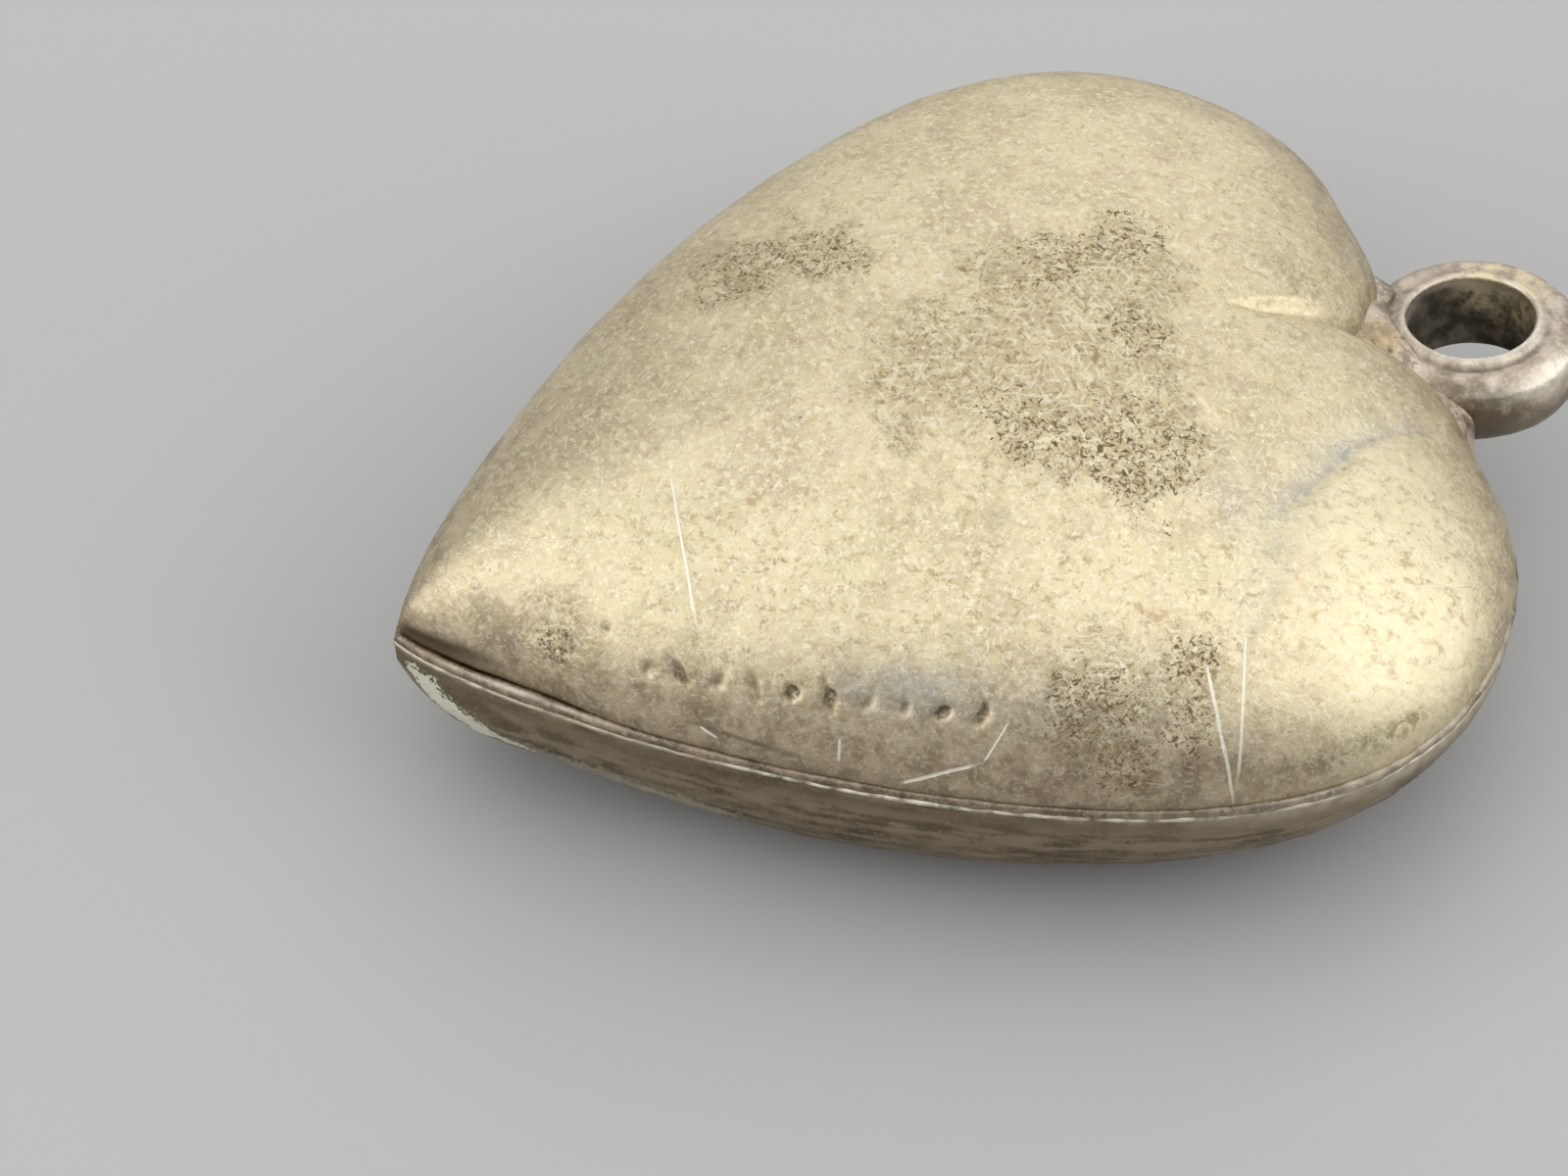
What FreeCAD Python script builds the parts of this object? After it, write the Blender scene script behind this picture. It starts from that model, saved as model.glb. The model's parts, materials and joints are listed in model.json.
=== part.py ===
import FreeCAD, Part
import math
import os

from FreeCAD import Vector

# A hollow puffed-heart charm. Two stamped silver half shells are soldered rim
# to rim, and a hanging ring is soldered into the cleft between the lobes.
#
# Frame, in millimetres: the heart lies on its back shell. +Z runs up through
# its thickness, +Y runs from the tip to the ring, +X is across the lobes.
# The origin is under the middle of the whole charm, on the resting surface.

# ---- driving dimensions ---------------------------------------------------

heart_length = 16.0          # tip to the top of the lobes
half_width = 7.12            # middle line to the widest point
widest_from_tip = 11.6       # height of the widest point above the tip
lobe_top_x = 3.17            # middle line to the top of a lobe
cleft_from_tip = 15.3        # bottom of the cleft, at the seam
tip_half_angle = 64.0        # degrees, between the middle line and a flank
cleft_half_angle = 56.0      # degrees, between the middle line and a lobe

back_depth = 2.85            # seam to the lowest point of the back shell
front_height = 3.27          # seam to the highest point of the front shell
front_fullness = 1.8         # higher is flatter on top, with tighter shoulders
back_fullness = 4.5
crown_from_tip = 8.9         # the crown of both domes, on the middle line
crown_spread = 1.47          # how soon the domes turn from heart to oval

sheet = 0.28                 # thickness of the stamped silver
rim_band = 0.12              # straight band at each shell's rim
seam_thickness = 0.08        # solder line between the rims
seam_groove = 0.12           # depth of the groove at the solder line
front_step = 0.07            # the front rim sits in from the back rim
seam_width = 0.34            # width of the solder land, across the rims

ring_hole_radius = 0.95
ring_wall = 0.70             # radial thickness of the ring
ring_depth = 1.3             # length of the ring along its hole
ring_outer_corner = 0.35     # rounding of the outer corners
ring_inner_corner = 0.07     # rounding of the lips of the hole
ring_from_tip = 16.85        # tip to the centre of the hole
ring_height = 2.95           # resting surface to the centre of the hole
ring_roll = 12.0             # degrees, the ring is set slightly askew

# Ovals that the flare of solder runs through, from the cleft out to the ring's
# sides: distance above the tip, half width, half height.
solder_ovals = [
    (14.9, 1.95, 1.20),
    (15.35, 1.92, 1.02),
    (15.8, 1.86, 0.82),
    (16.2, 1.76, 0.64),
    (16.6, 1.66, 0.50),
]
solder_overlap = 0.14        # how far the solder laps onto the ring's faces

# ---- values that follow ---------------------------------------------------

ring_radius = ring_hole_radius + ring_wall
overall_length = ring_from_tip + ring_radius
tip_y = -overall_length / 2
crown_y = tip_y + crown_from_tip
ring_centre = Vector(0, tip_y + ring_from_tip, ring_height)
seam_z = back_depth

curve_steps = 60             # fine steps along each curve of the outline
outline_spans = 28           # spline spans from the tip round to the cleft
dome_spans = 8               # spline spans from the crown to the rim

mirror_plane = Vector(1, 0, 0)


# ---- smooth splines -------------------------------------------------------

def pole_places(spans):
    """Even places, 0 to 1, for the poles of a cubic spline with this many spans."""
    places = [0, 1 / 3] + list(range(1, spans)) + [spans - 1 / 3, spans]
    return [place / spans for place in places]


def knots(spans):
    return list(range(spans + 1))


def multiplicities(spans):
    return [4] + [1] * (spans - 1) + [4]


def spline_edge(poles):
    """A smooth curve drawn towards its poles, ending on the first and last."""
    spans = len(poles) - 3
    curve = Part.BSplineCurve()
    curve.buildFromPolesMultsKnots(poles, multiplicities(spans), knots(spans), False, 3)
    return curve.toShape()


def spline_face(rows):
    """A smooth surface over rows of poles."""
    down = len(rows) - 3
    across = len(rows[0]) - 3
    surface = Part.BSplineSurface()
    surface.buildFromPolesMultsKnots(rows, multiplicities(down), multiplicities(across),
                                     knots(down), knots(across), False, False, 3, 3)
    return surface.toShape()


# ---- the heart's outline --------------------------------------------------

def bezier(p0, p1, p2, p3):
    """Points along a cubic curve, without its first point."""
    points = []
    for i in range(1, curve_steps + 1):
        t = i / curve_steps
        s = 1 - t
        points.append(p0 * s**3 + p1 * (3 * s * s * t) + p2 * (3 * s * t * t) + p3 * t**3)
    return points


def half_outline():
    """The right half of the outline at the seam, from the tip to the cleft."""
    tip_slope = math.radians(tip_half_angle)
    cleft_slope = math.radians(cleft_half_angle)
    tip = Vector(0, tip_y, 0)
    side = Vector(half_width, tip_y + widest_from_tip, 0)
    top = Vector(lobe_top_x, tip_y + heart_length, 0)
    cleft = Vector(0, tip_y + cleft_from_tip, 0)
    leave_tip = tip + Vector(math.sin(tip_slope), math.cos(tip_slope), 0) * 2.2
    leave_cleft = cleft + Vector(math.sin(cleft_slope), math.cos(cleft_slope), 0) * 1.6
    points = [tip]
    points += bezier(tip, leave_tip, side - Vector(0, 4.17, 0), side)
    points += bezier(side, side + Vector(0, 2.77, 0), top + Vector(1.5, 0, 0), top)
    points += bezier(top, top - Vector(1.66, 0, 0), leave_cleft, cleft)
    return spokes(points)


def angle_from_crown(point):
    """Angle of a point seen from the crown: -90 degrees is towards the tip."""
    return math.atan2(point.y - crown_y, point.x)


def spokes(points):
    """The same outline with its points at even angles round the crown."""
    chosen = [points[0]]
    i = 0
    for place in pole_places(outline_spans)[1:-1]:
        wanted = math.pi * (place - 0.5)
        while angle_from_crown(points[i + 1]) < wanted:
            i += 1
        before = angle_from_crown(points[i])
        after = angle_from_crown(points[i + 1])
        share = (wanted - before) / (after - before)
        chosen.append(points[i] + (points[i + 1] - points[i]) * share)
    return chosen + [points[-1]]


def inset(outline, distance):
    """The outline moved in by a distance, measured square to its edge."""
    crown = Vector(0, crown_y, 0)
    last = len(outline) - 1
    moved = []
    for i, point in enumerate(outline):
        along = outline[min(i + 1, last)] - outline[max(i - 1, 0)]
        outward = Vector(along.y, -along.x, 0).normalize()
        ray = (point - crown).normalize()
        moved.append(point - ray * (distance / ray.dot(outward)))
    return moved


# ---- domes ----------------------------------------------------------------

def contour_point(point, r):
    """Where a rim point moves at r, from 0 at the crown to 1 at the rim."""
    crown = Vector(0, crown_y, 0)
    ray = point - crown
    angle = angle_from_crown(point)
    reach = cleft_from_tip + 0.6 - crown_from_tip if ray.y > 0 else crown_from_tip
    oval = Vector(0.98 * half_width * math.cos(angle), reach * math.sin(angle), 0)
    heart_share = r**crown_spread
    return crown + (oval * (1 - heart_share) + ray * heart_share) * r


def dome_half(outline, height, fullness):
    """Right half of a dome that rises from z = 0 at the rim."""
    rows = []
    for v in pole_places(dome_spans):
        r = v * (2 - v)
        z = height * math.sqrt(max(0.0, 1 - r**fullness))
        row = [contour_point(point, r) + Vector(0, 0, z) for point in outline]
        for end in (row[0], row[-1]):
            end.x = 0
        rows.append(row)
    return spline_face(rows)


def rim_edge(face):
    """The edge of a dome half that lies in the seam plane."""
    flat = [edge for edge in face.Edges if not edge.Degenerated and edge.BoundBox.ZMax < 0.001]
    return flat[0]


def puffed_solid(outline, height, fullness, skirt):
    """A dome with a straight skirt under it and a flat base."""
    down = Vector(0, 0, -skirt)
    dome = dome_half(outline, height, fullness)
    edge = rim_edge(dome)
    right = [dome, edge.extrude(down)]
    left = [face.mirror(Vector(), mirror_plane) for face in right]
    low_edge = edge.translated(down)
    low_wire = Part.Wire([low_edge, low_edge.mirror(Vector(), mirror_plane)])
    skin = Part.Compound(right + left + [Part.Face(low_wire)])
    skin.sewShape()
    solid = Part.Solid(skin.Shells[0])
    if solid.Volume < 0:
        solid.reverse()
    return solid


def stamped_shell(outline, height, fullness):
    """The full outer body of one half, and that body hollowed to sheet."""
    dome_height = height - rim_band
    body = puffed_solid(outline, dome_height, fullness, rim_band)
    hollow = puffed_solid(inset(outline, sheet), dome_height - sheet, fullness, rim_band + 0.5)
    return body, body.cut(hollow)


# ---- the pieces -----------------------------------------------------------

def make_front(outline):
    rise = Vector(0, 0, seam_z + seam_thickness + rim_band)
    shapes = stamped_shell(inset(outline, front_step), front_height - seam_thickness, front_fullness)
    return [shape.translated(rise) for shape in shapes]


def make_back(outline):
    rise = Vector(0, 0, seam_z - rim_band)
    shapes = stamped_shell(outline, back_depth, back_fullness)
    return [shape.mirror(Vector(), Vector(0, 0, 1)).translated(rise) for shape in shapes]


def flat_face(outline):
    """A flat face inside an outline, on z = 0."""
    edge = spline_edge(outline)
    return Part.Face(Part.Wire([edge, edge.mirror(Vector(), mirror_plane)]))


def make_seam(outline):
    """The line of solder between the two rims."""
    outer = flat_face(inset(outline, seam_groove))
    inner = flat_face(inset(outline, seam_groove + seam_width))
    band = outer.cut(inner).extrude(Vector(0, 0, seam_thickness))
    return band.translated(Vector(0, 0, seam_z)).Solids[0]


def turn_ring(shape):
    """Puts a shape made about Z at the ring's place, with its roll."""
    placed = shape.copy()
    placed.rotate(Vector(), Vector(0, 1, 0), -ring_roll)
    placed.translate(ring_centre)
    return placed


def ring_blank():
    """The ring's outer form with no hole, a rounded disc about Z."""
    disc = Part.makeCylinder(ring_radius, ring_depth, Vector(0, 0, -ring_depth / 2))
    rims = [edge for edge in disc.Edges if isinstance(edge.Curve, Part.Circle)]
    return disc.makeFillet(ring_outer_corner, rims)


def make_ring(heart_bodies):
    bore = Part.makeCylinder(ring_hole_radius, 2 * ring_depth, Vector(0, 0, -ring_depth))
    ring = ring_blank().cut(bore)
    lips = []
    for edge in ring.Edges:
        if isinstance(edge.Curve, Part.Circle) and abs(edge.Curve.Radius - ring_hole_radius) < 0.001:
            lips.append(edge)
    ring = turn_ring(ring.makeFillet(ring_inner_corner, lips))
    for body in heart_bodies:
        ring = ring.cut(body)
    return ring.Solids[0]


def oval_wire(y, half_wide, half_high):
    """An upright oval across the charm, level with the ring."""
    centre = Vector(0, tip_y + y, ring_height)
    oval = Part.Ellipse(centre + Vector(half_wide, 0, 0), centre + Vector(0, 0, half_high), centre)
    return Part.Wire([oval.toShape()])


def make_ring_solder(heart_bodies):
    """The fillet of solder that flares from the ring onto both lobes."""
    flare = Part.makeLoft([oval_wire(*station) for station in solder_ovals], True)
    clear_radius = ring_radius - solder_overlap
    clear_way = Part.makeCylinder(clear_radius, 4 * ring_depth, Vector(0, 0, -2 * ring_depth))
    for body in heart_bodies + [turn_ring(ring_blank()), turn_ring(clear_way)]:
        flare = flare.cut(body)
    return max(flare.Solids, key=lambda solid: solid.Volume)


def main():
    outline = half_outline()
    front_body, front_shell = make_front(outline)
    back_body, back_shell = make_back(outline)
    seam_disc = flat_face(inset(outline, seam_groove)).extrude(Vector(0, 0, seam_thickness))
    heart_bodies = [front_body, back_body, seam_disc.translated(Vector(0, 0, seam_z))]
    nodes = {
        "front_shell": front_shell,
        "back_shell": back_shell,
        "seam_solder": make_seam(outline),
        "hanging_ring": make_ring(heart_bodies),
        "ring_solder": make_ring_solder(heart_bodies),
    }
    os.makedirs("parts", exist_ok=True)
    for name, shape in nodes.items():
        box = shape.BoundBox
        print(name, "solids", len(shape.Solids), "valid", shape.isValid(), "volume", round(shape.Volume, 3))
        print("   x", round(box.XMin, 3), round(box.XMax, 3), "y", round(box.YMin, 3), round(box.YMax, 3),
              "z", round(box.ZMin, 3), round(box.ZMax, 3))
        shape.exportStep("parts/" + name + ".step")


main()
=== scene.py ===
# %% [markdown]
# # A puffed silver heart charm
# The real piece is two thin silver stampings, a front and a back, soldered rim to rim round an empty
# middle, with a heavy hanging ring soldered into the cleft. It is small, about as wide as a fingertip,
# and old: the silver has gone warm and mottled, with pits, knife-like scratches and rubbed bright spots.
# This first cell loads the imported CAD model. It is the frame that every visible piece is built on.

# %% Load the frame
import functools
import json
import math
import random

import bmesh
import bpy
import numpy as np
from mathutils import Matrix, Vector, noise


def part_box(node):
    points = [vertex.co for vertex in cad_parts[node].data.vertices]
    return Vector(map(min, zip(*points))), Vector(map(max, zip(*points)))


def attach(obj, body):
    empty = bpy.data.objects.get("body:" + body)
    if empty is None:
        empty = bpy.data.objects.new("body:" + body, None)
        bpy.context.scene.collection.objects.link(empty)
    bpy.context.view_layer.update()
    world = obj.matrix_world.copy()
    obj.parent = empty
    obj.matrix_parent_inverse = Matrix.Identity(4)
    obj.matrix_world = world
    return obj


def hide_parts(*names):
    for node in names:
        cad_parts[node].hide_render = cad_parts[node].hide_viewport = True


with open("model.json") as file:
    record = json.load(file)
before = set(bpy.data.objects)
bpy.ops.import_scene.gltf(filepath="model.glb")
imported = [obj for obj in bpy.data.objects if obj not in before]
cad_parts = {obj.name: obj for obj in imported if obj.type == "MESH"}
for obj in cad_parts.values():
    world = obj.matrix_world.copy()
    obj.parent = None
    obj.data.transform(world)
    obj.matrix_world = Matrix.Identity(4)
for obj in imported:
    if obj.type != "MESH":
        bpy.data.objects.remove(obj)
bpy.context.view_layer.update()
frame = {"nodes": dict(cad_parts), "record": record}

print("CAD nodes:", sorted(frame["nodes"]))

# %% [markdown]
# ## Sizes
# The charm is so small that everything here is worked out in millimetres and turned into metres only
# when a mesh is made. The main sizes are read from the CAD boxes and from the mount in the record, so
# the visible pieces can't drift away from the design. The rest are the few shape values of the heart.

# %% Sizes from the frame
MM = 0.001
back_low, back_high = [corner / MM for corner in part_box("back_shell")]
front_low, front_high = [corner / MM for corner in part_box("front_shell")]
half_width = back_high.x
tip_y = back_low.y
lobe_y = back_high.y
seam_z = back_high.z
front_base_z = front_low.z
top_z = front_high.z

crown_y = tip_y + 8.9        # both domes are highest here, on the middle line
widest_y = tip_y + 11.6
cleft_y = tip_y + 15.3
lobe_top_x = 3.17
crown_spread = 1.47          # how soon a dome turns from heart to oval
sheet = 0.28                 # thickness of the stamped silver
front_fullness = 1.8         # flatter crown and tighter shoulders when higher
back_fullness = 4.5

ring_mount = frame["record"]["mounts"][0]
ring_centre = Vector(ring_mount["pos_m"]) / MM
ring_axis = Vector(ring_mount["axis"]).normalized()
hole_radius = ring_mount["dims"]["r_mm"]
ring_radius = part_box("hanging_ring")[1].y / MM - ring_centre.y
ring_half_depth = 0.65
heart_size = [round(float(size), 2) for size in (2 * half_width, lobe_y - tip_y, top_z)]
print("heart, wide, long and thick:", heart_size, "mm")
print("ring radius", round(ring_radius, 2), "round a hole of radius", hole_radius, "mm")

# %% [markdown]
# ## The heart's outline
# A heart could be drawn as a curve object and filled, but a filled curve gives no control over how the
# faces run. Here the outline is three cubic curves on one side, tip to widest point, over the lobe and
# down into the cleft, and it is then read as a distance from the crown for every angle. That makes a
# fan of spokes, and a dome is the same fan drawn at rising heights.

# %% The outline as a distance for every angle
def cubic(p0, p1, p2, p3):
    """Points along one cubic curve."""
    t = np.linspace(0, 1, 120)[:, None]
    return (1 - t)**3 * p0 + 3 * t * (1 - t)**2 * p1 + 3 * t * t * (1 - t) * p2 + t**3 * p3


def toward(degrees_from_y, length):
    """A step of that length, leaning from the middle line towards +X."""
    lean = math.radians(degrees_from_y)
    return np.array([math.sin(lean), math.cos(lean)]) * length


tip = np.array([0, tip_y])
side = np.array([half_width, widest_y])
lobe = np.array([lobe_top_x, lobe_y])
cleft = np.array([0, cleft_y])
half = np.vstack([
    cubic(tip, tip + toward(64, 2.2), side - [0, 4.17], side),
    cubic(side, side + [0, 2.77], lobe + [1.5, 0], lobe),
    cubic(lobe, lobe - [1.66, 0], cleft + toward(56, 1.6), cleft),
])
half_angles = np.arctan2(half[:, 1] - crown_y, half[:, 0])
half_reach = np.hypot(half[:, 0], half[:, 1] - crown_y)


def outline_reach(angles):
    """Distance from the crown to the outline, for angles of any turn."""
    folded = np.arcsin(np.sin(angles))
    return np.interp(folded, half_angles, half_reach)


print("reach to the tip", round(float(outline_reach(np.array([-math.pi / 2]))[0]), 2), "mm")

# %% [markdown]
# ## Domes
# A sphere squashed into a heart would keep a round top and lose the crease between the lobes. In this
# formula each ring of the fan is part oval and part heart. Near the crown it is all oval, so the top is
# smooth, and at the rim it is all heart, so the crease grows by itself on the way to the cleft.

# %% Rings of a dome
def bell(distance, width):
    return np.exp(-(distance / width)**2)


def smooth_step(values, low, high):
    t = np.clip((values - low) / (high - low), 0, 1)
    return t * t * (3 - 2 * t)


def near_turn(angles, degrees, spread):
    """1 at that turn, in degrees, fading to 0 over the spread."""
    return bell(angles - math.radians(degrees), math.radians(spread))


def fan_angles(spokes):
    return np.linspace(-math.pi / 2, 1.5 * math.pi, spokes, endpoint=False)


def dome_rows(spokes, rows, inset, height, fullness):
    """Rows of points from the crown to the rim. Heights are above the rim."""
    angles = fan_angles(spokes)
    ray = np.stack([np.cos(angles), np.sin(angles)], axis=1)
    rim = ray * (outline_reach(angles) - inset)[:, None]
    half_long = np.where(ray[:, 1] > 0, cleft_y + 0.6 - crown_y, crown_y - tip_y)
    oval = ray * np.stack([np.full(spokes, 0.98 * half_width), half_long], axis=1)
    grid = []
    for v in np.linspace(0, 1, rows + 1)[1:]:
        r = v * (2 - v)
        heart_share = r**crown_spread
        flat = r * (oval * (1 - heart_share) + rim * heart_share) + [0, crown_y]
        rise = height * math.sqrt(max(0.0, 1 - r**fullness))
        grid.append(np.column_stack([flat, np.full(spokes, rise)]))
    return np.array(grid)


trial_dome = dome_rows(720, 6, 0.0, 1.0, 2.0)
print("a trial dome:", trial_dome.shape[0], "rows of", trial_dome.shape[1], "points")

# %% [markdown]
# The formula leaves a sharp ridge from the tip up the dome, and sheet metal stamped in a die can't fold
# that sharply. Points near the ridge are averaged with their neighbours along the row, many times over.
# A bevel would round the rim as well, but the rim has to stay pointed, so the share fades out there.

# %% Round off the tip's ridge
def soften_tip_ridge(grid):
    """Rounds off the ridge that runs up from the tip, but leaves the rim itself pointed."""
    rows, spokes = grid.shape[:2]
    smooth = grid.copy()
    for _ in range(70):
        smooth = (np.roll(smooth, 1, axis=1) + 2 * smooth + np.roll(smooth, -1, axis=1)) / 4
    angles = fan_angles(spokes)
    near_tip = np.maximum(near_turn(angles, -90, 12), near_turn(angles, 270, 12))
    off_rim = 1 - smooth_step(np.arange(rows), 0.72 * rows, rows - 1.0)
    share = (off_rim[:, None] * near_tip[None, :])[:, :, None]
    return grid * (1 - share) + smooth * share


def rim_rows(spokes, insets, heights):
    """Extra rows round the rim: one ring of points for each pair of inset and height."""
    angles = fan_angles(spokes)
    ray = np.stack([np.cos(angles), np.sin(angles)], axis=1)
    rings = []
    for inset, height in zip(insets, heights):
        flat = ray * (outline_reach(angles) - inset)[:, None] + [0, crown_y]
        rings.append(np.column_stack([flat, np.full(spokes, height)]))
    return np.array(rings)


softened = soften_tip_ridge(trial_dome)
print("softening moves the trial dome by up to", round(float(np.abs(softened - trial_dome).max()), 2), "mm")

# %% [markdown]
# Dents and wear are placed by three measures of a surface: which way it faces at each point, how lumpy
# it is there, and how far the point lies from a line. A displace modifier could push the surface out by
# noise alone, but these let a mark be a certain depth at a certain place.

# %% Measure a surface
def row_normals(grid):
    """Outward unit normals of a grid of rows, which wraps round."""
    down = np.gradient(grid, axis=0)
    along_row = np.roll(grid, -1, axis=1) - np.roll(grid, 1, axis=1)
    normal = np.cross(down, along_row)
    return normal / np.maximum(np.linalg.norm(normal, axis=2, keepdims=True), 1e-9)


def unevenness(points, scale, seed):
    """Smooth noise between about -1 and 1 at each point; scale is in lumps per mm."""
    shift = Vector((seed * 7.3, seed * 3.1, seed * 5.7))
    flat = points.reshape(-1, 3)
    values = [noise.noise(Vector(p) * scale + shift) for p in flat]
    return np.array(values).reshape(points.shape[:-1])


def to_segment(points, a, b):
    """Distance of each point from the straight line between a and b."""
    a, b = np.array(a), np.array(b)
    along = np.clip(((points - a) @ (b - a)) / ((b - a) @ (b - a)), 0, 1)
    return np.linalg.norm(points - a - along[..., None] * (b - a), axis=-1)


def from_point(points, place):
    return np.linalg.norm(points - np.array(place), axis=-1)


upward = row_normals(trial_dome)[:, :, 2]
print("the trial dome's normals lean upwards by", round(float(upward.min()), 2), "or more")

# %% [markdown]
# ## Meshes from rings
# Every piece of this charm is a stack of closed rings, so one helper can make them all. It joins
# neighbouring rings with quads and closes each end with a fan, which gives a sealed mesh with no loose
# faces. Tones, such as how worn or dirty a point is, are stored on the points for the finishes to read.

# %% Make a mesh from a stack of rings
def ring_mesh(name, rings, start=None, end=None, tones=None):
    """rings: closed loops of equal length. start and end: points that close the two ends."""
    rings = np.asarray(rings)
    count, spokes = rings.shape[:2]
    points = rings.reshape(-1, 3)
    here = np.arange(spokes)
    after = (here + 1) % spokes
    faces = []
    for row in range(count - 1):
        a, b = row * spokes, (row + 1) * spokes
        faces += np.stack([a + here, b + here, b + after, a + after], axis=1).tolist()
    if start is not None:
        points = np.vstack([points, start])
        faces += [[len(points) - 1, i, j] for i, j in zip(here.tolist(), after.tolist())]
    if end is not None:
        points = np.vstack([points, end])
        last = (count - 1) * spokes
        faces += [[len(points) - 1, last + j, last + i] for i, j in zip(here.tolist(), after.tolist())]
    if start is None and end is None:
        last = (count - 1) * spokes
        faces += np.stack([last + here, here, after, last + after], axis=1).tolist()
    mesh = bpy.data.meshes.new(name)
    mesh.from_pydata((points * MM).tolist(), [], faces)
    for tone, values in (tones or {}).items():
        layer = mesh.attributes.new(tone, "FLOAT", "POINT")
        full = np.zeros(len(points), np.float32)
        full[:values.size] = values.ravel()
        layer.data.foreach_set("value", full)
    mesh.shade_smooth()
    piece = bpy.data.objects.new(name, mesh)
    bpy.context.scene.collection.objects.link(piece)
    return piece


trial_piece = ring_mesh("trial", trial_dome, start=(0, crown_y, 1.0))
print("the trial dome as a mesh:", len(trial_piece.data.polygons), "faces")

# %% [markdown]
# A half shell is one closed skin: out over the dome, round the rim and back inside. Whichever way its
# faces happen to turn at first, Blender can work out the outside of a closed skin, so that is left to
# it. The trial dome has done its work and goes.

# %% Close a shell and turn its faces outwards
def face_outwards(piece):
    """Turns all faces of a closed piece to the outside."""
    work = bmesh.new()
    work.from_mesh(piece.data)
    bmesh.ops.recalc_face_normals(work, faces=work.faces)
    work.to_mesh(piece.data)
    work.free()


def closed_shell(name, outer, crown, inner, inner_crown, tones):
    """A half shell: its outer rows, then its inner rows back up to the crown."""
    rings = np.concatenate([outer, inner[::-1]])
    piece = ring_mesh(name, rings, crown, inner_crown, tones)
    face_outwards(piece)
    return piece


bpy.data.meshes.remove(trial_piece.data)
print("meshes before the real pieces:", len(bpy.data.meshes))

# %% [markdown]
# ## The front shell
# This is the side with the most to show. Wear can be painted into the finish, but a dent, a struck mark
# or the sharp bottom of a crease changes the outline and catches light, so those are pushed into the
# mesh itself along its normals. Each one is a small function of the distance from where it lies.

# %% Front shell: the plain dome
spokes = 720
front_rows = 122
rim_band = 0.12              # both stampings end in a short upright band
front_step = 0.07            # the front rim sits in from the back rim
tip_gap = 0.17               # further in beside the tip, where the halves never quite met
fan = fan_angles(spokes)
front_inset = front_step + tip_gap * near_turn(fan, -79, 9)
band_low = front_base_z + rim_band
front = soften_tip_ridge(dome_rows(spokes, front_rows, front_inset, top_z - band_low, front_fullness))
front += [0, 0, band_low]
turn_in = np.linspace(0, 1, 7)[1:]
front_band = rim_rows(spokes, [front_inset + 0.05 * t**2 for t in turn_in], band_low - rim_band * turn_in)
front = np.concatenate([front, front_band])
front_normals = row_normals(front)
print("front shell grid", front.shape)

# %% [markdown]
# A stamped heart is never quite even, and its crease isn't a clean V. It starts as a sharp point, opens
# towards the ring, and its far wall is the steeper one. Sculpting by hand would do it, but couldn't be
# changed later by one number. So every shape below adds to one value, the push along the normal.

# %% Front shell: unevenness and crease
push = 0.022 * unevenness(front, 0.45, 1) + 0.014 * unevenness(front, 1.3, 2)
push += 0.005 * unevenness(front, 2.7, 5) + 0.0025 * unevenness(front, 6.0, 3)
from_start = np.clip((front[:, :, 1] - 3.3) / 2.4, 0, 1)
off_crease = front[:, :, 0] - 0.10 * from_start
far_wall = 0.06 + 0.30 * from_start
near_wall = 0.05 + 0.70 * from_start
wall = np.where(off_crease < 0, far_wall, near_wall)
groove = np.clip(1 - np.abs(off_crease) / wall, 0, 1)**1.3
crease_depth = 0.17 * smooth_step(from_start, 0.0, 0.4) * (1 - 0.45 * smooth_step(from_start, 0.5, 1.0))
push -= groove * crease_depth
print("crease depth up to", round(float((groove * crease_depth).max()), 3), "mm")

# %% [markdown]
# The near lobe was pressed flat once, which left a smooth patch with a fold round it. The fold is a
# bent path, and each point of the shell takes its distance from the nearest stretch of it. The wall is
# sharp on the patch side and slopes gently on the other, which is how thin metal buckles.

# %% Front shell: fold round the pressed patch
fold_path = [(5.3, 1.9, 4.95), (4.57, 2.57, 5.07), (3.74, 2.92, 5.26), (3.5, 3.43, 5.2), (3.11, 4.06, 5.1),
             (2.8, 4.5, 5.0), (2.61, 5.14, 4.74), (2.47, 5.79, 4.35)]
fold = np.full(front.shape[:2], 9.0)
beyond = np.zeros(front.shape[:2], bool)
for a, b in zip(fold_path, fold_path[1:]):
    away = to_segment(front, a, b)
    patch_side = (b[0] - a[0]) * (front[:, :, 1] - a[1]) < (b[1] - a[1]) * (front[:, :, 0] - a[0])
    beyond = np.where(away < fold, patch_side, beyond)
    fold = np.minimum(away, fold)
patch_middle = (5.2, 4.4, 4.4)
fold_strength = 0.4 + 0.6 * bell(from_point(front, fold_path[4]), 1.2)
fold_shape = np.where(beyond, bell(fold, 0.10), bell(fold, 0.45)) * fold_strength
push -= 0.15 * fold_shape
push += 0.045 * bell(from_point(front, patch_middle), 1.5)
print("fold runs through", len(fold_path), "points")

# %% [markdown]
# Small knocks are round hollows, each with a place, a width and a depth in millimetres. Two longer
# grooves run beside the seam. A boolean cut would leave sharp edges, and old dents have none.

# %% Front shell: dents and grooves
dents = [
    ((1.43, -7.59, 4.0), 0.09, 0.045),
    ((1.87, -7.2, 3.97), 0.10, 0.05),
    ((1.73, -7.65, 3.58), 0.06, 0.045),
    ((1.95, -6.67, 4.36), 0.08, 0.035),
    ((1.66, -7.35, 4.05), 0.06, 0.03),
    ((2.9, -1.2, 5.7), 0.5, 0.02),
    ((-2.8, -3.2, 5.45), 0.35, 0.02),
    ((3.14, 4.1, 5.07), 0.09, 0.06),
]
dented = np.zeros(front.shape[:2])
for place, width, depth in dents:
    dent = bell(from_point(front, place), width)
    push -= depth * dent
    dented = np.maximum(dented, dent * min(1, depth / 0.04))

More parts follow.
